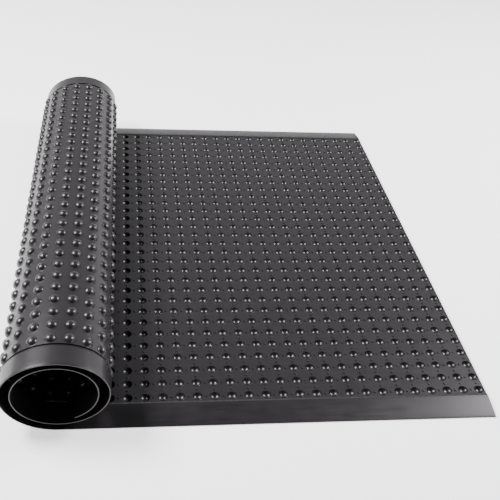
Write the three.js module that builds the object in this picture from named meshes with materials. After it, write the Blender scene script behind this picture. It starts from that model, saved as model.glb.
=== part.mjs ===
// Rubber bubble mat with one end rolled up.
//
// One moulded sheet of black rubber lies flat on the floor (z = 0) along X and Y. Its left end (-X)
// leaves the floor and rolls up over itself, so the face that lies on the floor is the outside of
// the roll. Plain border strips run along the front and back edges (-Y and +Y). Both ends are
// straight cuts.
//
// The sheet is drawn flat, as lines that run along its length and are closed to a skin, and every
// point is then carried onto the rolled path. Hollow bubbles fill the field in a square grid. On
// the flat run they are cups in the upper face, over one ridge for each row on the floor side. On
// the outside of the roll they are raised. Each is a four-sided point here, with flat sheet
// between them. The inner turn keeps its room for them but is plain.
//
// Millimetres, +Z up. The origin is the middle of the box around the mat, on the floor.
import * as THREE from 'three';

// Pattern of the field
const PITCH = 27.5; // from one bubble to the next, both ways
const ROWS = 30; // bubbles across the width
const COLUMNS = 55; // bubbles along the length
const ROW_MARGIN = 12; // last row's centres to the crease of the border
const END_MARGIN = 9.6; // last column's centres to the cut end

// Section of the sheet
const SHEET_THICKNESS = 1.8; // between the bubbles
const BUBBLE_HEIGHT = 5.5; // below the sheet's lower face
const BORDER_WIDTH = 39.25; // crease to outer edge
const BORDER_EDGE = 2.2; // thickness of the outer edge
const LIP_HEIGHT = 1.2; // crease above the sheet's upper face
const LIP_WIDTH = 1; // flat crest of the lip
const LIP_SLOPE = 1.5; // run of the lip's inner side
const BAND_STEP = 0.4; // border below the sheet's lower face
const BAND_SLOPE = 0.7; // run of that step

// Roll
const ROLL_HALF_WIDTH = 88.7; // centre of the roll to its left side, where the roll starts
const ROLL_HALF_HEIGHT = 68.9; // centre of the roll to the sheet below it
const TURN_NARROWING = 16.5; // loss of half width in each turn
const TURN_CLEARANCE = 0.3; // between bubbles and the turn that they rest on
const TURNS = 1.93; // from the floor to the inner end
const EASE_TURNS = 0.25; // part of the first turn in which the height starts to fall
const SAG_TURNS = 0.2; // part of the first turn in which the border lifts off the floor

// Straight steps in each turn of the roll, and the distance under which two places are one
const STEPS_PER_TURN = 36;
const SAME_PLACE = 1e-6;

const creaseY = ((ROWS - 1) * PITCH) / 2 + ROW_MARGIN;
const halfWidth = creaseY + BORDER_WIDTH;
const sheetLength = (COLUMNS - 1) * PITCH + 2 * END_MARGIN;
const turnRise = SHEET_THICKNESS + BUBBLE_HEIGHT + TURN_CLEARANCE;
const heightLoss = turnRise / (1 - EASE_TURNS / 2);

// The sheet's lower face as a line in the XZ plane, from the cut end at x = 0 round the roll.
class RolledPath extends THREE.Curve {
  constructor(flatLength, turns = TURNS) {
    super();
    this.flatLength = flatLength;
    this.turns = turns;
    this.arcLengthDivisions = 2400;
  }

  // The first tenth of t is the flat run, the rest is the roll.
  getPoint(t, target = new THREE.Vector3()) {
    const flatShare = 0.1;
    if (t < flatShare) {
      return target.set((-this.flatLength * t) / flatShare, 0, BUBBLE_HEIGHT);
    }
    const turns = (this.turns * (t - flatShare)) / (1 - flatShare);
    const angle = turns * 2 * Math.PI;
    const across = ROLL_HALF_WIDTH - TURN_NARROWING * turns;
    const up = ROLL_HALF_HEIGHT - heightLoss * easedTurns(turns);
    const centreHeight = BUBBLE_HEIGHT + ROLL_HALF_HEIGHT;
    return target.set(
      -this.flatLength - across * Math.sin(angle),
      0,
      centreHeight - up * Math.cos(angle),
    );
  }
}

// Turns counted so that the roll's height starts to fall without a kink.
function easedTurns(turns) {
  if (turns < EASE_TURNS) {
    return turns ** 2 / (2 * EASE_TURNS);
  }
  return turns - EASE_TURNS / 2;
}

// How far the border hangs down at its outer edge: to the floor where the mat lies flat, and not
// at all once the sheet has curled up.
function borderSag(turns) {
  const lift = THREE.MathUtils.smoothstep(turns, 0, SAG_TURNS);
  return (BUBBLE_HEIGHT - BAND_STEP) * (1 - lift);
}

// Lengths along the sheet, from the cut end
const rollLength = new RolledPath(0).getLength();
const flatLength = sheetLength - rollLength;
const firstTurnLength = new RolledPath(0, 1).getLength();
const flatColumns = Math.round((flatLength - END_MARGIN) / PITCH);
const outerColumns = Math.floor(firstTurnLength / PITCH);
const columnAt = (column) => END_MARGIN + column * PITCH;
const rowAt = (row) => (row - (ROWS - 1) / 2) * PITCH;
const cupsEnd = columnAt(flatColumns - 0.5);
const bubblesEnd = columnAt(flatColumns + outerColumns - 0.5);
const rollStep = rollLength / Math.ceil(TURNS * STEPS_PER_TURN);

// The flat sheet's skin. A point is its distance from the cut end, its place across the width, and
// its height above the lower face. A line is a list of point numbers.
class Skin {
  constructor() {
    this.points = [];
    this.triangles = [];
  }

  line(points) {
    return points.map(([distance, y, up]) => {
      this.points.push(new THREE.Vector3(distance, y, up));
      return this.points.length - 1;
    });
  }

  // The part of a line between two distances from the cut end.
  part(line, from, to) {
    const distance = (p) => this.points[p].x;
    return line.filter((p) => distance(p) > from - SAME_PLACE && distance(p) < to + SAME_PLACE);
  }

  // Joins two lines by triangles, always across the shorter way.
  join(first, second) {
    let i = 0;
    let j = 0;
    const across = (p, q) => this.points[p].distanceTo(this.points[q]);
    while (i + 1 < first.length || j + 1 < second.length) {
      const stepFirst = j + 1 === second.length
        || (i + 1 < first.length
          && across(first[i + 1], second[j]) <= across(first[i], second[j + 1]));
      if (stepFirst) {
        this.triangles.push(first[i], first[i + 1], second[j]);
        i += 1;
      } else {
        this.triangles.push(first[i], second[j + 1], second[j]);
        j += 1;
      }
    }
  }

  joinAll(lines) {
    lines.slice(1).forEach((line, k) => this.join(lines[k], line));
  }

  geometry(place) {
    const geometry = new THREE.BufferGeometry().setFromPoints(this.points.map(place));
    geometry.setIndex(this.triangles);
    return geometry;
  }
}

// Stations of a line from one column to another, at every centre and where asked also midway.
function columnStations(first, last, midway) {
  const stations = [];
  for (let column = first; column <= last; column += 1) {
    stations.push(columnAt(column));
    if (midway && column < last) {
      stations.push(columnAt(column + 0.5));
    }
  }
  return stations;
}

// Stations of plain sheet, from one distance to the inner end.
function rollStations(from) {
  const count = Math.ceil((sheetLength - from) / rollStep);
  return Array.from({ length: count }, (_, k) => from + ((sheetLength - from) * (k + 1)) / count);
}

const lastOuter = flatColumns + outerColumns - 1;
const outerStations = [
  cupsEnd,
  ...columnStations(flatColumns, lastOuter, true),
  bubblesEnd,
  ...rollStations(bubblesEnd),
];
const borderStations = [0, ...outerStations];
const upperEdgeStations = [0, ...columnStations(0, flatColumns - 1, false), ...outerStations];
const innerEnd = (line) => line.slice(-1)[0];
const straight = (stations, y, up) => stations.map((distance) => [distance, y, up]);

// One border from the sheet's lower face round its outer edge to the upper face.
function borderLines(skin, side) {
  const crest = SHEET_THICKNESS + LIP_HEIGHT;
  return [
    straight(borderStations, side * (creaseY - BAND_SLOPE), 0),
    straight(borderStations, side * creaseY, -BAND_STEP),
    straight(borderStations, side * halfWidth, -BAND_STEP),
    straight(borderStations, side * halfWidth, BORDER_EDGE - BAND_STEP),
    straight(borderStations, side * (creaseY + LIP_WIDTH), crest),
    straight(borderStations, side * creaseY, crest),
    straight(upperEdgeStations, side * (creaseY - LIP_SLOPE), SHEET_THICKNESS),
  ].map((points) => skin.line(points));
}

// Cups of the flat run, sunk from the upper face. The cut end runs through their near corners.
function cupLines(skin, front, back) {
  const top = SHEET_THICKNESS;
  const notch = Math.max(0, 1 - (2 * END_MARGIN) / PITCH) * BUBBLE_HEIGHT;
  const lines = [skin.part(front, 0, cupsEnd)];
  for (let row = 0; row < ROWS; row += 1) {
    const cups = [[0, rowAt(row), top - notch]];
    for (let column = 0; column < flatColumns; column += 1) {
      cups.push([columnAt(column), rowAt(row), top - BUBBLE_HEIGHT]);
      cups.push([columnAt(column + 0.5), rowAt(row), top]);
    }
    lines.push(skin.line(cups));
    if (row < ROWS - 1) {
      const stations = [0, ...columnStations(0, flatColumns - 1, false), cupsEnd];
      lines.push(skin.line(straight(stations, rowAt(row + 0.5), top)));
    }
  }
  return [...lines, skin.part(back, 0, cupsEnd)];
}

// Lower face: a ridge under each row of cups, then the raised bubbles of the outer turn.
function bubbleLines(skin, front, back) {
  const lines = [skin.part(front, 0, bubblesEnd)];
  for (let row = 0; row < ROWS; row += 1) {
    const bubbles = straight([0, columnAt(flatColumns - 1)], rowAt(row), -BUBBLE_HEIGHT);
    bubbles.push([cupsEnd, rowAt(row), 0]);
    for (let column = flatColumns; column <= lastOuter; column += 1) {
      bubbles.push([columnAt(column), rowAt(row), -BUBBLE_HEIGHT]);
      bubbles.push([columnAt(column + 0.5), rowAt(row), 0]);
    }
    lines.push(skin.line(bubbles));
    if (row < ROWS - 1) {
      const stations = [
        0,
        cupsEnd,
        ...columnStations(flatColumns, lastOuter, true),
        bubblesEnd,
      ];
      lines.push(skin.line(straight(stations, rowAt(row + 0.5), 0)));
    }
  }
  return [...lines, skin.part(back, 0, bubblesEnd)];
}

// Plain sheet from the end of the pattern to the inner end, on one face.
function joinPlain(skin, pattern, firstEdge, secondEdge, from) {
  const first = skin.part(firstEdge, from, sheetLength);
  const second = skin.part(secondEdge, from, sheetLength);
  skin.join([first[1], second[1]], pattern.map(innerEnd));
  skin.join(first.slice(1), second.slice(1));
}

function flatSkin() {
  const skin = new Skin();
  const front = borderLines(skin, -1);
  const back = borderLines(skin, 1);
  const [lowerFront, lowerBack] = [front[0], back[0]];
  const [upperFront, upperBack] = [innerEnd(front), innerEnd(back)];
  const bubbles = bubbleLines(skin, lowerFront, lowerBack);
  const cups = cupLines(skin, upperFront, upperBack);
  const cupsFromBack = [...cups].reverse();
  skin.joinAll(bubbles);
  skin.joinAll(back);
  skin.joinAll(cupsFromBack);
  skin.joinAll([...front].reverse());
  joinPlain(skin, bubbles, lowerFront, lowerBack, bubblesEnd);
  joinPlain(skin, cupsFromBack, upperBack, upperFront, cupsEnd);
  closeEnds(skin, front, back, bubbles, cups);
  return skin;
}

// Both cut ends, from the front border's outer edge to the back one's.
function closeEnds(skin, front, back, bubbles, cups) {
  const cutEnd = (line) => line[0];
  const lowerBorder = 3; // lines of a border that belong to its lower side
  skin.join(
    [...front.slice(1, lowerBorder).reverse(), ...bubbles, ...back.slice(1, lowerBorder)].map(cutEnd),
    [...front.slice(lowerBorder, -1), ...cups, ...back.slice(lowerBorder, -1).reverse()].map(cutEnd),
  );
  skin.join(
    [...front.slice(lowerBorder), ...back.slice(lowerBorder).reverse()].map(innerEnd),
    [...front.slice(0, lowerBorder).reverse(), ...back.slice(0, lowerBorder)].map(innerEnd),
  );
}

function bubbleMat() {
  const path = new RolledPath(flatLength);
  const place = (point) => {
    const share = Math.min(point.x / sheetLength, 1);
    const foot = path.getPointAt(share);
    const tangent = path.getTangentAt(share);
    const turns = (TURNS * Math.max(point.x - flatLength, 0)) / rollLength;
    const pastCrease = Math.max(Math.abs(point.y) - creaseY, 0) / BORDER_WIDTH;
    const up = point.z - borderSag(turns) * pastCrease;
    return new THREE.Vector3(foot.x + up * tangent.z, point.y, foot.z - up * tangent.x);
  };
  const geometry = flatSkin().geometry(place);
  geometry.computeBoundingBox();
  const { min, max } = geometry.boundingBox;
  geometry.translate(-(min.x + max.x) / 2, 0, -min.z);
  geometry.computeVertexNormals();
  return geometry;
}

const blackRubber = new THREE.MeshStandardMaterial({
  color: 0x1b1b1c,
  roughness: 0.45,
  metalness: 0,
});

const mat = new THREE.Mesh(bubbleMat(), blackRubber);
mat.name = 'bubble_mat';

const model = new THREE.Group();
model.add(mat);

export default model;
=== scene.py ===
"""Rubber bubble mat with one end rolled up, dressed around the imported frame.

The sheet is modelled flat, one square of its pattern repeated over the field, and every point is
then carried onto the rolled path that the solid follows. Lengths are metres in the frame's axes:
the flat sheet runs along X to its cut end at +X, its borders lie at -Y and +Y, and the floor is
at Z = 0.
"""

import logging
import math
from bisect import bisect_right
from dataclasses import dataclass, field
from enum import Enum

import bmesh
import bpy
from mathutils import Matrix, Vector

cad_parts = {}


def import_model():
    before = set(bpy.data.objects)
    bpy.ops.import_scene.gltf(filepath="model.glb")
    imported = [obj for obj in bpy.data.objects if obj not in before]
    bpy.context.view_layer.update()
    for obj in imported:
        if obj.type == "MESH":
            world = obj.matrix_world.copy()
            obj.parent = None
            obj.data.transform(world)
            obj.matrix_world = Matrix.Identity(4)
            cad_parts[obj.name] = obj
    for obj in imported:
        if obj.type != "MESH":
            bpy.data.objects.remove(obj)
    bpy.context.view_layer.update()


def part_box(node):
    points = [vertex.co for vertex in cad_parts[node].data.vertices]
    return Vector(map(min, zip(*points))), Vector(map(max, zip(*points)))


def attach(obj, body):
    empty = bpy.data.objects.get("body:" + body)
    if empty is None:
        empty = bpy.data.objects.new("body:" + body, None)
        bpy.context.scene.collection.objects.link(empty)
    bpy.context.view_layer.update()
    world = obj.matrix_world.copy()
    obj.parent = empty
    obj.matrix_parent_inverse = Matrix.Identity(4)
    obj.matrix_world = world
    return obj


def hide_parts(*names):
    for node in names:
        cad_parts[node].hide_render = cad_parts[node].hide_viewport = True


LOG = logging.getLogger("bubble_mat")
MM = 0.001
NODE = "bubble_mat"
BODY = "root"


@dataclass(frozen=True)
class SheetSizes:
    """The flat sheet: its pattern and its section across the width."""

    pitch: float = 27.5 * MM
    rows: int = 30
    columns: int = 55
    row_margin: float = 12 * MM
    end_margin: float = 9.6 * MM
    thickness: float = 1.8 * MM
    bubble_height: float = 5.5 * MM
    border_width: float = 39.25 * MM
    border_edge: float = 2.2 * MM
    lip_height: float = 1.1 * MM
    lip_width: float = 1.0 * MM
    lip_slope: float = 3.2 * MM
    band_step: float = 0.4 * MM
    groove_width: float = 5.0 * MM
    groove_depth: float = 2.0 * MM
    groove_shift: float = 1.0 * MM

    @property
    def crease(self) -> float:
        """Distance from the middle of the width to the crease of a border."""
        return (self.rows - 1) * self.pitch / 2 + self.row_margin

    @property
    def half_width(self) -> float:
        """Distance from the middle of the width to the outer edge."""
        return self.crease + self.border_width

    @property
    def length(self) -> float:
        """Length of the whole sheet, unrolled."""
        return (self.columns - 1) * self.pitch + 2 * self.end_margin


@dataclass(frozen=True)
class RollSizes:
    """The rolled end, as the solid has it."""

    half_width: float = 88.7 * MM
    half_height: float = 68.9 * MM
    narrowing: float = 16.5 * MM
    clearance: float = 0.3 * MM
    turns: float = 1.93
    ease_turns: float = 0.25
    sag_turns: float = 0.2


class RolledPath:
    """The sheet's lower face as a line from the cut end to the inner end of the roll."""

    SAMPLES = 4000
    SAG_POWER = 1.3

    def __init__(self, sheet: SheetSizes, roll: RollSizes, cut_end_x: float) -> None:
        """Measures the roll and works out where it leaves the floor.

        Args:
            sheet: Sizes of the flat sheet.
            roll: Sizes of the rolled end.
            cut_end_x: Place of the flat cut end along X.
        """
        self.sheet = sheet
        self.roll = roll
        self.cut_end_x = cut_end_x
        rise = sheet.thickness + sheet.bubble_height + roll.clearance
        self.height_loss = rise / (1 - roll.ease_turns / 2)
        self.turn_table = [roll.turns * i / self.SAMPLES for i in range(self.SAMPLES + 1)]
        self.length_table = self._lengths()
        self.flat_length = sheet.length - self.length_table[-1]

    def _lengths(self) -> list[float]:
        """Adds up the roll's length.

        Returns:
            The length along the roll up to each entry of the turn table.
        """
        lengths = [0.0]
        last = self._around(0.0)[0]
        for turns in self.turn_table[1:]:
            point = self._around(turns)[0]
            lengths.append(lengths[-1] + (point - last).length)
            last = point
        return lengths

    def _around(self, turns: float) -> tuple[Vector, Vector]:
        """Finds a point of the roll, measured from where the sheet leaves the floor.

        Args:
            turns: How far round the roll the point is.

        Returns:
            The point and the unit direction of travel, both as (x, z).
        """
        ease = self.roll.ease_turns
        eased = turns**2 / (2 * ease) if turns < ease else turns - ease / 2
        easing = turns / ease if turns < ease else 1.0
        angle = 2 * math.pi * turns
        across = self.roll.half_width - self.roll.narrowing * turns
        up = self.roll.half_height - self.height_loss * eased
        across_change = -self.roll.narrowing / (2 * math.pi)
        up_change = -self.height_loss * easing / (2 * math.pi)
        sine, cosine = math.sin(angle), math.cos(angle)
        point = Vector((-across * sine, self.roll.half_height - up * cosine))
        travel = Vector((-across * cosine - across_change * sine, up * sine - up_change * cosine))
        return point, travel.normalized()

    def _turns_at(self, distance: float) -> float:
        """Finds how far round the roll a point of the sheet is.

        Args:
            distance: Its distance from the cut end along the sheet.

        Returns:
            The turns from where the sheet leaves the floor, or 0 on the flat run.
        """
        past = distance - self.flat_length
        if past <= 0:
            return 0.0
        k = min(bisect_right(self.length_table, past), self.SAMPLES) - 1
        low, high = self.length_table[k], self.length_table[k + 1]
        share = (past - low) / (high - low)
        return self.turn_table[k] + share * (self.turn_table[k + 1] - self.turn_table[k])

    def _sag(self, turns: float, across: float) -> float:
        """Finds how far the border hangs below the sheet's plane.

        Args:
            turns: How far round the roll the point is.
            across: Its place across the width.

        Returns:
            The drop, which is 0 between the creases and well up the roll.
        """
        past = max(abs(across) - self.sheet.crease, 0.0) / self.sheet.border_width
        t = min(turns / self.roll.sag_turns, 1.0)
        lift = t * t * (3 - 2 * t)
        drop = self.sheet.bubble_height - self.sheet.band_step
        return drop * (1 - lift) * past**self.SAG_POWER

    def place(self, flat: Vector) -> Vector:
        """Carries a point of the flat sheet onto the path.

        Args:
            flat: The point, with x as minus the distance from the cut end, y across the
                width and z above the sheet's lower face.

        Returns:
            The point in the frame.
        """
        distance = -flat.x
        turns = self._turns_at(distance)
        up = flat.z - self._sag(turns, flat.y)
        if distance <= self.flat_length:
            return Vector((self.cut_end_x - distance, flat.y, self.sheet.bubble_height + up))
        point, travel = self._around(turns)
        x = self.cut_end_x - self.flat_length + point.x + up * travel.y
        z = self.sheet.bubble_height + point.y - up * travel.x
        return Vector((x, flat.y, z))


@dataclass(frozen=True)
class Ring:
    """One ring of a round form: its radius and its height from the face it stands on."""

    radius: float
    height: float


@dataclass(frozen=True)
class RoundForm:
    """A cup, bubble or pip as rings from its rim to its pole."""

    rings: tuple[Ring, ...]
    pole: float
    segments: int = 12

    def _next_ring(self, bm: bmesh.types.BMesh, edges: list) -> tuple[list, list]:
        """Extrudes a ring of edges in place.

        Args:
            bm: The mesh being built.
            edges: The ring's edges.

        Returns:
            The new ring's vertices and edges.
        """
        made = bmesh.ops.extrude_edge_only(bm, edges=edges)["geom"]
        verts = [g for g in made if isinstance(g, bmesh.types.BMVert)]
        new = set(verts)
        ring = [g for g in made if isinstance(g, bmesh.types.BMEdge) and set(g.verts) <= new]
        return verts, ring

    def build(self, bm: bmesh.types.BMesh, centre: Vector, square: float | None) -> None:
        """Builds the form.

        Args:
            bm: The mesh that receives it.
            centre: The middle of the form on the face that it stands on.
            square: Half the side of the flat square around it, or None for a closed base.
        """
        first = self.rings[0]
        turn = Matrix.Rotation(math.pi / self.segments, 4, "Z")
        base = Vector((0, 0, first.height))
        start = bmesh.ops.create_circle(
            bm,
            cap_ends=square is None,
            segments=self.segments,
            radius=first.radius,
            matrix=Matrix.Translation(centre + base) @ turn,
        )["verts"]
        edges = list({e for v in start for e in v.link_edges})
        if square is not None:
            verts, _ = self._next_ring(bm, edges)
            for v in verts:
                out = v.co - centre
                grow = square / max(abs(out.x), abs(out.y))
                v.co = centre + Vector((out.x * grow, out.y * grow, out.z))
        move_home = Matrix.Translation(-centre)
        last = first
        for ring in self.rings[1:]:
            verts, edges = self._next_ring(bm, edges)
            share = ring.radius / last.radius
            bmesh.ops.scale(bm, vec=(share, share, 1), space=move_home, verts=verts)
            bmesh.ops.translate(bm, vec=(0, 0, ring.height - last.height), verts=verts)
            last = ring
        verts, _ = self._next_ring(bm, edges)
        bmesh.ops.pointmerge(bm, verts=verts, merge_co=centre + Vector((0, 0, self.pole)))


class Detail(Enum):
    """How finely the bubbles of a run are made: on show, or against the floor."""

    ON_SHOW = "on show"
    FLOOR_SIDE = "floor side"


@dataclass(frozen=True)
class Moulding:
    """The round forms that the mould leaves on both faces."""

    cup: RoundForm = RoundForm(
        rings=(
            Ring(8.1 * MM, 0.0),
            Ring(7.65 * MM, -1.1 * MM),
            Ring(6.1 * MM, -3.3 * MM),
            Ring(3.6 * MM, -4.9 * MM),
        ),
        pole=-5.5 * MM,
    )
    bubble: RoundForm = RoundForm(
        rings=(
            Ring(8.9 * MM, 0.0),
            Ring(8.4 * MM, -1.2 * MM),
            Ring(6.8 * MM, -3.4 * MM),
            Ring(4.0 * MM, -4.9 * MM),
        ),
        pole=-5.5 * MM,
    )
    floor_bubble: RoundForm = RoundForm(
        rings=(Ring(8.9 * MM, 0.0), Ring(7.6 * MM, -2.5 * MM), Ring(4.3 * MM, -4.8 * MM)),
        pole=-5.5 * MM,
    )
    pip: RoundForm = RoundForm(
        rings=(Ring(2.3 * MM, -0.25 * MM), Ring(1.8 * MM, 1.1 * MM)),
        pole=1.25 * MM,
        segments=6,
    )

    def lower(self, detail: Detail) -> RoundForm:
        """Returns the bubble for a run's lower face."""
        return self.bubble if detail is Detail.ON_SHOW else self.floor_bubble


@dataclass(frozen=True)
class Run:
    """A stretch of the sheet from one column of bubbles to another."""

    name: str
    first: int
    last: int
    detail: Detail

    @property
    def columns(self) -> int:
        """Number of columns of bubbles in the run."""
        return self.last - self.first + 1


class SheetBuilder:
    """Builds runs of the sheet flat, and carries them onto the path."""

    JOIN = 0.02 * MM
    SHARP_ANGLE = math.radians(50)
    LIP_SHARES = ((-0.5, 0.45), (-0.12, 0.88))
    LIP_FALL = 0.95
    BORDER_SHARES = (0.08, 0.3, 0.55, 0.8)
    EDGE_ROUNDING = 0.25
    GROOVE_SHARES = ((0.9, 0.6), (0.75, 1.0), (-0.7, 1.0), (-0.85, 0.75))

    def __init__(self, sheet: SheetSizes, path: RolledPath, moulding: Moulding) -> None:
        """Keeps what every run is built from.

        Args:
            sheet: Sizes of the flat sheet.
            path: The path that the sheet follows.
            moulding: The round forms of both faces.
        """
        self.sheet = sheet
        self.path = path
        self.moulding = moulding

    def _column_x(self, column: int) -> float:
        """Returns the flat x of a column's centres."""
        return -(self.sheet.end_margin + column * self.sheet.pitch)

    def _first_corner(self, run: Run, level: float) -> Vector:
        """Returns the centre of the run's first form, in the front row."""
        front = -(self.sheet.rows - 1) * self.sheet.pitch / 2
        return Vector((self._column_x(run.first), front, level))

    @staticmethod
    def _repeat(bm: bmesh.types.BMesh, count: int, step: Vector) -> None:
        """Copies everything in a mesh along a step.

        Args:
            bm: The mesh to fill.
            count: How many there are in the end, the first included.
            step: From one to the next.
        """
        source = bm.verts[:] + bm.edges[:] + bm.faces[:]
        for k in range(1, count):
            made = bmesh.ops.duplicate(bm, geom=source)["geom"]
            verts = [g for g in made if isinstance(g, bmesh.types.BMVert)]
            bmesh.ops.translate(bm, vec=step * k, verts=verts)

    def _grid(
        self, form: RoundForm, start: Vector, columns: int, rows: int, square: float | None
    ) -> bmesh.types.BMesh:
        """Builds a grid of one round form.

        Args:
            form: The form to repeat.
            start: Centre of the first one.
            columns: How many along the sheet.
            rows: How many across it.
            square: Half the side of the square around each, or None.

        Returns:
            A new bmesh that holds the grid.
        """
        bm = bmesh.new()
        form.build(bm, start, square)
        self._repeat(bm, rows, Vector((0, self.sheet.pitch, 0)))
        self._repeat(bm, columns, Vector((-self.sheet.pitch, 0, 0)))
        bmesh.ops.remove_doubles(bm, verts=bm.verts[:], dist=self.JOIN)
        return bm

    def _trim(self, bm: bmesh.types.BMesh, run: Run, field_half: float) -> None:
        """Draws the outermost squares in to the borders and to the cut ends.

        Args:
            bm: A face of the sheet.
            run: The run that it belongs to.
            field_half: Half the width of the field on this face.
        """
        half = self.sheet.pitch / 2
        outer = self.sheet.rows * half
        near_x = self._column_x(run.first) + half
        far_x = self._column_x(run.last) - half
        for v in bm.verts:
            if abs(v.co.y) > outer - self.JOIN:
                v.co.y = math.copysign(field_half, v.co.y)
            if run.first == 0 and v.co.x > near_x - self.JOIN:
                v.co.x = 0.0
            if run.last == self.sheet.columns - 1 and v.co.x < far_x + self.JOIN:
                v.co.x = -self.sheet.length

    def _border_profile(self) -> list[tuple[float, float]]:
        """Works out a border's section.

        Returns:
            Its points as (y, z), from the upper face over the lip, round the outer edge and
            back through the groove to the lower face.
        """
        s = self.sheet
        crest = s.thickness + s.lip_height
        top_start = s.crease + s.lip_width
        edge_top = s.border_edge - s.band_step
        lip = [
            (s.crease + s.lip_slope * along, s.thickness + s.lip_height * rise)
            for along, rise in self.LIP_SHARES
        ]
        lip.append((s.crease + s.lip_width / 2, crest))
        lip.append((top_start, s.thickness + self.LIP_FALL * s.lip_height))
        top = [
            (top_start + (s.half_width - top_start) * t, crest + (edge_top - crest) * t)
            for t in self.BORDER_SHARES
        ]
        rounding = self.EDGE_ROUNDING * s.border_edge
        edge = [
            (s.half_width - rounding, edge_top),
            (s.half_width, edge_top - rounding),
            (s.half_width, -s.band_step + rounding),
            (s.half_width - rounding, -s.band_step),
        ]
        under = [(s.crease + s.border_width * t, -s.band_step) for t in reversed(self.BORDER_SHARES)]
        middle = s.crease + s.groove_shift
        half = s.groove_width / 2
        groove = [(middle + half, -s.band_step)]
        groove += [
            (middle + half * along, s.groove_depth * deep) for along, deep in self.GROOVE_SHARES
        ]
        groove.append((middle - half, 0.0))
        return lip + top + edge + under + groove

    def _border(self, bm: bmesh.types.BMesh, side: int, upper_half: float) -> None:
        """Extrudes a border from the upper face's side and closes it on the lower face.

        Args:
            bm: The mesh that holds both faces of the field.
            side: -1 for the front border, 1 for the back one.
            upper_half: Half the width of the field on the upper face.
        """
        level = self.sheet.thickness

        def on_side(v: bmesh.types.BMVert) -> bool:
            """Tells whether a vertex lies on the side of the upper face."""
            same_y = abs(v.co.y - side * upper_half) < self.JOIN
            return same_y and abs(v.co.z - level) < self.JOIN

        edges = [e for e in bm.edges if e.is_boundary and all(on_side(v) for v in e.verts)]
        for y, z in self._border_profile():
            made = bmesh.ops.extrude_edge_only(bm, edges=edges)["geom"]
            verts = [g for g in made if isinstance(g, bmesh.types.BMVert)]
            new = set(verts)
            edges = [g for g in made if isinstance(g, bmesh.types.BMEdge) and set(g.verts) <= new]
            for v in verts:
                v.co.y = side * y
                v.co.z = z

    def _close_ends(self, bm: bmesh.types.BMesh, run: Run) -> None:
        """Fills the sheet's section at both ends of a run.

        Args:
            bm: The mesh with its borders on.
            run: The run that it belongs to.
        """
        middle = (self._column_x(run.first) + self._column_x(run.last)) / 2
        open_edges = [e for e in bm.edges if e.is_boundary]
        for low_side in (True, False):
            ring = [e for e in open_edges if (e.verts[0].co.x < middle) == low_side]
            bmesh.ops.edgeloop_fill(bm, edges=ring)

    def _pips(self, run: Run) -> list[bmesh.types.BMesh]:
        """Builds the pips between neighbours along and across the sheet.

        Args:
            run: The run that they belong to.

        Returns:
            One mesh for each direction.
        """
        s = self.sheet
        corner = self._first_corner(run, s.thickness)
        along = run.columns - (1 if run.last == s.columns - 1 else 0)
        half = s.pitch / 2
        pip = self.moulding.pip
        return [
            self._grid(pip, corner + Vector((-half, 0, 0)), along, s.rows, None),
            self._grid(pip, corner + Vector((0, half, 0)), run.columns, s.rows - 1, None),
        ]

    @staticmethod
    def _join(target: bmesh.types.BMesh, others: list[bmesh.types.BMesh]) -> None:
        """Adds meshes to another one and frees them.

        Args:
            target: The mesh that receives them.
            others: The meshes to add.
        """
        for other in others:
            carrier = bpy.data.meshes.new("carrier")
            other.to_mesh(carrier)
            other.free()
            target.from_mesh(carrier)
            bpy.data.meshes.remove(carrier)

    def _sheet_uv(self, bm: bmesh.types.BMesh) -> None:
        """Writes each point's place on the flat sheet, in metres, as a UV map.

        Args:
            bm: The whole run, still flat.
        """
        layer = bm.loops.layers.uv.new("sheet")
        for face in bm.faces:
            for loop in face.loops:
                loop[layer].uv = (-loop.vert.co.x, loop.vert.co.y)

    def build(self, run: Run) -> bpy.types.Object:
        """Builds one run of the sheet in its place.

        Args:
            run: The run to build.

        Returns:
            The finished object, untransformed at the origin.
        """
        s = self.sheet
        half = s.pitch / 2
        upper_half = s.crease - s.lip_slope
        lower_half = s.crease + s.groove_shift - s.groove_width / 2
        corner = self._first_corner(run, s.thickness)
        bm = self._grid(self.moulding.cup, corner, run.columns, s.rows, half)
        self._trim(bm, run, upper_half)
        lower_form = self.moulding.lower(run.detail)
        lower = self._grid(lower_form, self._first_corner(run, 0.0), run.columns, s.rows, half)
        self._trim(lower, run, lower_half)
        self._join(bm, [lower])
        for side in (-1, 1):
            self._border(bm, side, upper_half)
        bmesh.ops.remove_doubles(bm, verts=bm.verts[:], dist=self.JOIN)
        self._close_ends(bm, run)
        self._join(bm, self._pips(run))
        self._sheet_uv(bm)
        for v in bm.verts:
            v.co = self.path.place(v.co)
        bmesh.ops.recalc_face_normals(bm, faces=bm.faces[:])
        for face in bm.faces:
            face.smooth = True
        mesh = bpy.data.meshes.new(run.name)
        bm.to_mesh(mesh)
        bm.free()
        mesh.set_sharp_from_angle(angle=self.SHARP_ANGLE)
        piece = bpy.data.objects.new(run.name, mesh)
        bpy.context.scene.collection.objects.link(piece)
        normals = piece.modifiers.new("flat faces stay flat", "WEIGHTED_NORMAL")
        normals.keep_sharp = True
        return piece


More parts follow.
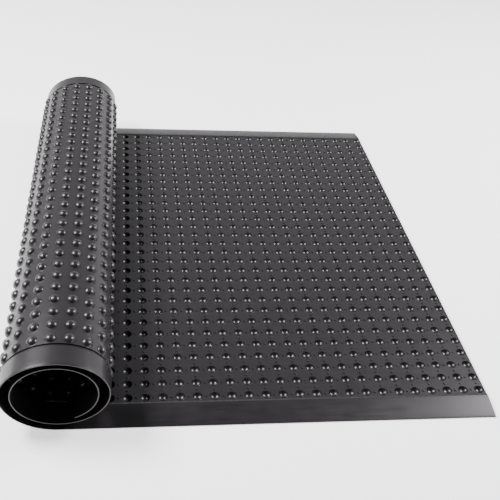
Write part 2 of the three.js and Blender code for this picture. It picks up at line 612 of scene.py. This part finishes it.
class Wire:
    """A node's output socket, with arithmetic that adds Math nodes."""

    def __init__(self, graph: "Graph", socket: bpy.types.NodeSocket) -> None:
        """Keeps the socket and the graph that it belongs to."""
        self.graph = graph
        self.socket = socket

    def _math(self, operation: str, a: object, b: object) -> "Wire":
        """Returns the result of a Math node on two values."""
        return self.graph.node("ShaderNodeMath", {"operation": operation}, {0: a, 1: b})

    def __add__(self, other: object) -> "Wire":
        """Returns self + other."""
        return self._math("ADD", self, other)

    def __radd__(self, other: object) -> "Wire":
        """Returns other + self."""
        return self._math("ADD", other, self)

    def __sub__(self, other: object) -> "Wire":
        """Returns self - other."""
        return self._math("SUBTRACT", self, other)

    def __rsub__(self, other: object) -> "Wire":
        """Returns other - self."""
        return self._math("SUBTRACT", other, self)

    def __mul__(self, other: object) -> "Wire":
        """Returns self * other."""
        return self._math("MULTIPLY", self, other)

    def __rmul__(self, other: object) -> "Wire":
        """Returns other * self."""
        return self._math("MULTIPLY", other, self)


class Graph:
    """A material's node tree."""

    def __init__(self, name: str) -> None:
        """Makes an empty material with a principled shader on its output.

        Args:
            name: The material's name.
        """
        self.material = bpy.data.materials.new(name)
        self.material.use_nodes = True
        self.tree = self.material.node_tree
        self.tree.nodes.clear()
        self.output = self.tree.nodes.new("ShaderNodeOutputMaterial")
        self.shader = self.tree.nodes.new("ShaderNodeBsdfPrincipled")
        self.tree.links.new(self.shader.outputs[0], self.output.inputs["Surface"])

    def node(self, kind: str, settings: dict, inputs: dict, output: object = 0) -> Wire:
        """Adds a node.

        Args:
            kind: The node's type.
            settings: Its own settings, which are set first.
            inputs: Values or links for its sockets, by name or number.
            output: The socket that is handed back.

        Returns:
            The output socket, wrapped.
        """
        made = self.tree.nodes.new(kind)
        for name, value in settings.items():
            setattr(made, name, value)
        for name, value in inputs.items():
            if isinstance(value, Wire):
                self.tree.links.new(value.socket, made.inputs[name])
            else:
                made.inputs[name].default_value = value
        return Wire(self, made.outputs[output])

    def set(self, values: dict) -> None:
        """Sets or links the principled shader's sockets.

        Args:
            values: Values or links by the socket's name.
        """
        for name, value in values.items():
            if isinstance(value, Wire):
                self.tree.links.new(value.socket, self.shader.inputs[name])
            else:
                self.shader.inputs[name].default_value = value


@dataclass(frozen=True)
class BlackRubber:
    """Satin moulded black rubber, slightly uneven, with a fine mould skin and faint streaks."""

    dark: tuple[float, float, float, float] = (0.0058, 0.0053, 0.0058, 1)
    light: tuple[float, float, float, float] = (0.0105, 0.0096, 0.0105, 1)
    sheen_tint: tuple[float, float, float, float] = (1.0, 0.93, 1.0, 1)
    roughness: float = 0.35
    roughness_spread: float = 0.22
    mottle_scale: float = 38.0
    mottle_detail: float = 4.0
    mottle_share: float = 0.45
    streak_scale: float = 240.0
    streak_detail: float = 2.0
    streak_stretch: float = 0.06
    streak_share: float = 0.55
    streak_relief: float = 0.8
    skin_scale: float = 950.0
    skin_detail: float = 3.0
    skin_height: float = 0.00003
    bump_strength: float = 0.35

    def _noise(self, graph: Graph, place: Wire, scale: float, detail: float) -> Wire:
        """Adds a noise texture.

        Args:
            graph: The material's graph.
            place: The coordinates that it reads.
            scale: Its scale, in turns to the metre.
            detail: Its number of finer layers.

        Returns:
            The noise, from 0 to 1.
        """
        return graph.node("ShaderNodeTexNoise", {}, {0: place, "Scale": scale, "Detail": detail})

    def make(self) -> bpy.types.Material:
        """Builds the finish.

        Returns:
            The material.
        """
        g = Graph("black_rubber")
        place = g.node("ShaderNodeTexCoord", {}, {}, "Object")
        sheet = g.node("ShaderNodeUVMap", {"uv_map": "sheet"}, {})
        along = g.node("ShaderNodeMapping", {}, {0: sheet, "Scale": (self.streak_stretch, 1, 1)})
        mottle = self._noise(g, place, self.mottle_scale, self.mottle_detail)
        skin = self._noise(g, place, self.skin_scale, self.skin_detail)
        streak = self._noise(g, along, self.streak_scale, self.streak_detail)
        uneven = self.mottle_share * mottle + self.streak_share * streak
        colour = g.node(
            "ShaderNodeMix",
            {"data_type": "RGBA"},
            {"Factor": uneven, "A": self.dark, "B": self.light},
            "Result",
        )
        bump = g.node(
            "ShaderNodeBump",
            {},
            {
                "Strength": self.bump_strength,
                "Distance": self.skin_height,
                "Height": skin + self.streak_relief * streak,
            },
        )
        g.set(
            {
                "Base Color": colour,
                "Specular Tint": self.sheen_tint,
                "Roughness": self.roughness + self.roughness_spread * (uneven - 0.5),
                "Normal": bump,
            }
        )
        return g.material


@dataclass(frozen=True)
class Softbox:
    """One soft light, placed by its direction from the mat."""

    name: str
    direction: tuple[float, float, float]
    distance: float
    size: tuple[float, float]
    power: float

    def make(self, aim: Vector) -> None:
        """Adds the light.

        Args:
            aim: The point that it shines at.
        """
        data = bpy.data.lights.new(self.name, "AREA")
        data.shape = "RECTANGLE"
        data.size, data.size_y = self.size
        data.energy = self.power
        lamp = bpy.data.objects.new(self.name, data)
        way = Vector(self.direction).normalized()
        lamp.location = aim + way * self.distance
        lamp.rotation_euler = way.to_track_quat("Z", "Y").to_euler()
        lamp.visible_camera = False
        bpy.context.scene.collection.objects.link(lamp)


@dataclass(frozen=True)
class Studio:
    """Pale floor and wall, soft light and the photograph's camera."""

    floor_half: float = 6.0
    wall_radius: float = 5.8
    wall_height: float = 1.2
    wall_segments: int = 96
    wall_glow: float = 0.3
    paint_colour: tuple[float, float, float, float] = (0.86, 0.86, 0.86, 1)
    paint_roughness: float = 0.9
    paint_gloss: float = 0.2
    floor_glow: float = 1.5
    sky_strength: float = 0.08
    location: tuple[float, float, float] = (-0.2206, -1.1995, 0.9493)
    yaw: float = 8.951
    pitch: float = 33.333
    roll: float = 5.687
    lens: float = 54.744
    shift: tuple[float, float] = (0.07, -0.14)
    sight: float = 50.0
    lights: tuple[Softbox, ...] = field(
        default=(
            Softbox("softbox_left", (-0.65, 0.08, 0.74), 2.4, (0.8, 0.8), 132.0),
            Softbox("softbox_right", (0.76, 0.1, 0.64), 2.4, (0.75, 0.75), 92.0),
            Softbox("backdrop_light", (0.05, 0.87, 0.49), 4.0, (7.0, 4.1), 62.0),
        )
    )

    def _stage(self, name: str, bm: bmesh.types.BMesh, paint: bpy.types.Material) -> None:
        """Adds a piece of the studio and frees its bmesh.

        Args:
            name: The piece's name.
            bm: Its shape.
            paint: Its finish.
        """
        mesh = bpy.data.meshes.new(name)
        bm.to_mesh(mesh)
        bm.free()
        mesh.materials.append(paint)
        piece = bpy.data.objects.new(name, mesh)
        bpy.context.scene.collection.objects.link(piece)

    def _paint(self, name: str, glow: float) -> bpy.types.Material:
        """Mixes the studio's pale matt paint, softly lit from within.

        Args:
            name: The material's name.
            glow: How strongly it is lit from within.

        Returns:
            The material.
        """
        graph = Graph(name)
        graph.set(
            {
                "Base Color": self.paint_colour,
                "Roughness": self.paint_roughness,
                "Specular IOR Level": self.paint_gloss,
                "Emission Color": self.paint_colour,
                "Emission Strength": glow,
            }
        )
        return graph.material

    def _room(self) -> None:
        """Adds the floor and a low round wall far behind the mat on every side."""
        floor = bmesh.new()
        bmesh.ops.create_grid(floor, x_segments=1, y_segments=1, size=self.floor_half)
        self._stage("floor", floor, self._paint("pale_floor", self.floor_glow))
        wall = bmesh.new()
        bmesh.ops.create_circle(wall, segments=self.wall_segments, radius=self.wall_radius)
        made = bmesh.ops.extrude_edge_only(wall, edges=wall.edges[:])["geom"]
        top = [g for g in made if isinstance(g, bmesh.types.BMVert)]
        bmesh.ops.translate(wall, vec=(0, 0, self.wall_height), verts=top)
        self._stage("backdrop", wall, self._paint("pale_wall", self.wall_glow))

    def _sky(self) -> None:
        """Lights the scene evenly from all round."""
        world = bpy.data.worlds.new("sky")
        world.use_nodes = True
        background = world.node_tree.nodes["Background"]
        background.inputs["Color"].default_value = (1, 1, 1, 1)
        background.inputs["Strength"].default_value = self.sky_strength
        bpy.context.scene.world = world

    def _camera(self) -> None:
        """Adds the camera at the photograph's viewing angle."""
        data = bpy.data.cameras.new("camera")
        data.lens = self.lens
        data.shift_x, data.shift_y = self.shift
        data.clip_end = self.sight
        camera = bpy.data.objects.new("camera", data)
        heading = Matrix.Rotation(-math.radians(self.yaw), 4, "Z")
        tilt = Matrix.Rotation(math.radians(90 - self.pitch), 4, "X")
        roll = Matrix.Rotation(math.radians(self.roll), 4, "Z")
        camera.matrix_world = Matrix.Translation(self.location) @ heading @ tilt @ roll
        bpy.context.scene.collection.objects.link(camera)
        bpy.context.scene.camera = camera

    def make(self) -> None:
        """Adds everything that isn't the mat."""
        self._room()
        self._sky()
        self._camera()
        for light in self.lights:
            light.make(Vector((0, 0, 0)))


@dataclass
class BubbleMat:
    """The whole mat: the flat run and the two turns of the roll."""

    sheet: SheetSizes = field(default_factory=SheetSizes)
    roll: RollSizes = field(default_factory=RollSizes)
    moulding: Moulding = field(default_factory=Moulding)
    runs: tuple[Run, ...] = (
        Run("flat_run", 0, 24, Detail.FLOOR_SIDE),
        Run("outer_turn", 25, 41, Detail.ON_SHOW),
        Run("inner_turn", 42, 54, Detail.ON_SHOW),
    )

    def make(self) -> list[bpy.types.Object]:
        """Builds, dresses and mounts every run.

        Returns:
            The pieces of the mat.
        """
        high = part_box(NODE)[1]
        path = RolledPath(self.sheet, self.roll, high.x)
        builder = SheetBuilder(self.sheet, path, self.moulding)
        rubber = BlackRubber().make()
        pieces = []
        for run in self.runs:
            piece = builder.build(run)
            piece.data.materials.append(rubber)
            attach(piece, BODY)
            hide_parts(NODE)
            piece.data.calc_loop_triangles()
            LOG.info("%s: %d triangles", piece.name, len(piece.data.loop_triangles))
            pieces.append(piece)
        return pieces


def main() -> None:
    """Builds the mat and its studio."""
    logging.basicConfig(level=logging.INFO, format="%(name)s %(message)s")
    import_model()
    BubbleMat().make()
    Studio().make()


if __name__ == "__main__":
    main()
